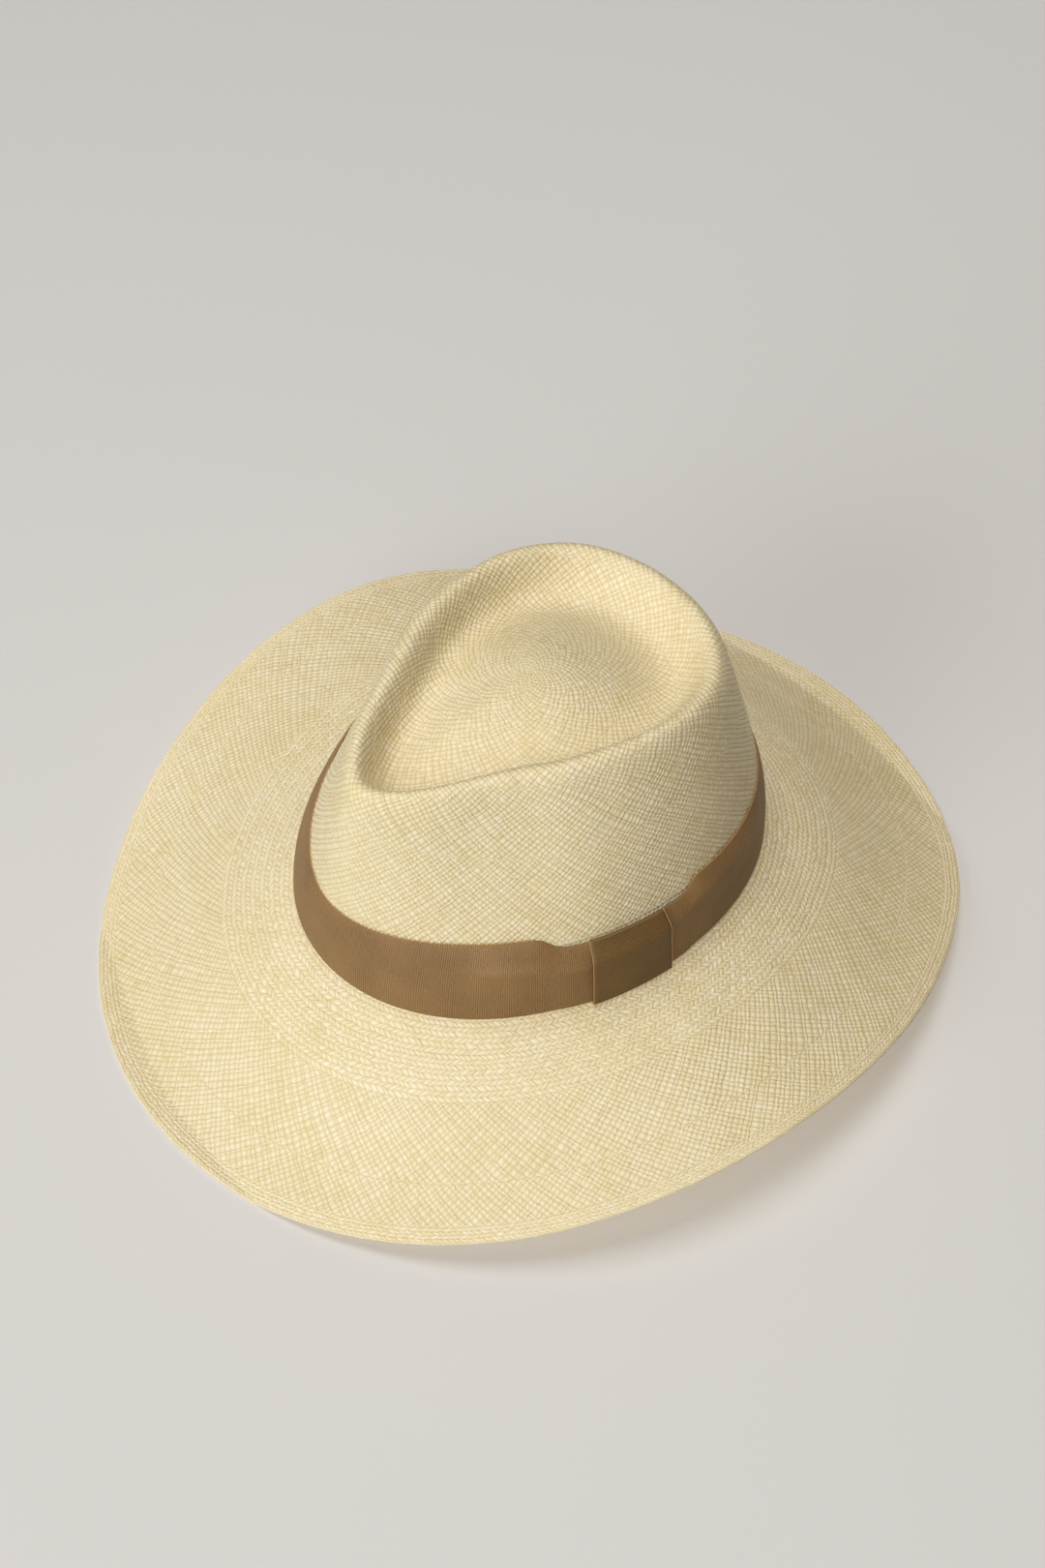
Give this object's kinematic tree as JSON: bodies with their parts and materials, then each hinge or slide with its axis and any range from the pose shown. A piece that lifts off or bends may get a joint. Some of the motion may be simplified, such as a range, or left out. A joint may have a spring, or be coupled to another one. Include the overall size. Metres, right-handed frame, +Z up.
{
  "type": "panama hat",
  "caption": "Wide-brimmed woven straw hat with a teardrop-creased crown, a grosgrain ribbon band with a plain keeper at the side, and a leather sweatband inside.",
  "frame": {"origin": "under the middle of the hat's box, on the plane the brim rests on", "axes": "+Z up, -Y the front of the hat, +X the wearer's left, where the keeper is"},
  "size_m": [0.3414, 0.3783, 0.1557],
  "materials": {
    "straw": "woven toquilla straw, pale cream, lightly polished",
    "ribbon": "taupe-brown ribbed grosgrain",
    "leather": "smooth tan sweatband leather",
    "reed": "plain extruded cord",
    "tape": "cotton tape",
    "thread": "twisted polyester thread",
    "bow": "narrow brown ribbon",
    "tag": "blank woven label"
  },
  "bodies": {
    "root": {"straw_body": "straw", "hatband_ribbon": "ribbon", "bow_keeper": "ribbon", "sweatband_leather": "leather", "sweatband_reed": "reed", "reed_tape": "tape", "reed_tape_seam": "thread", "sweatband_seam": "thread", "rear_seam_thread": "thread", "rear_bow_loops": "bow", "rear_bow_knot": "bow", "size_tag": "tag", "hatband_tack_1": "thread", "hatband_tack_2": "thread", "hatband_tack_3": "thread", "hatband_tack_4": "thread", "keeper_stitch_1": "thread", "keeper_stitch_2": "thread"}
  },
  "joints": []
}
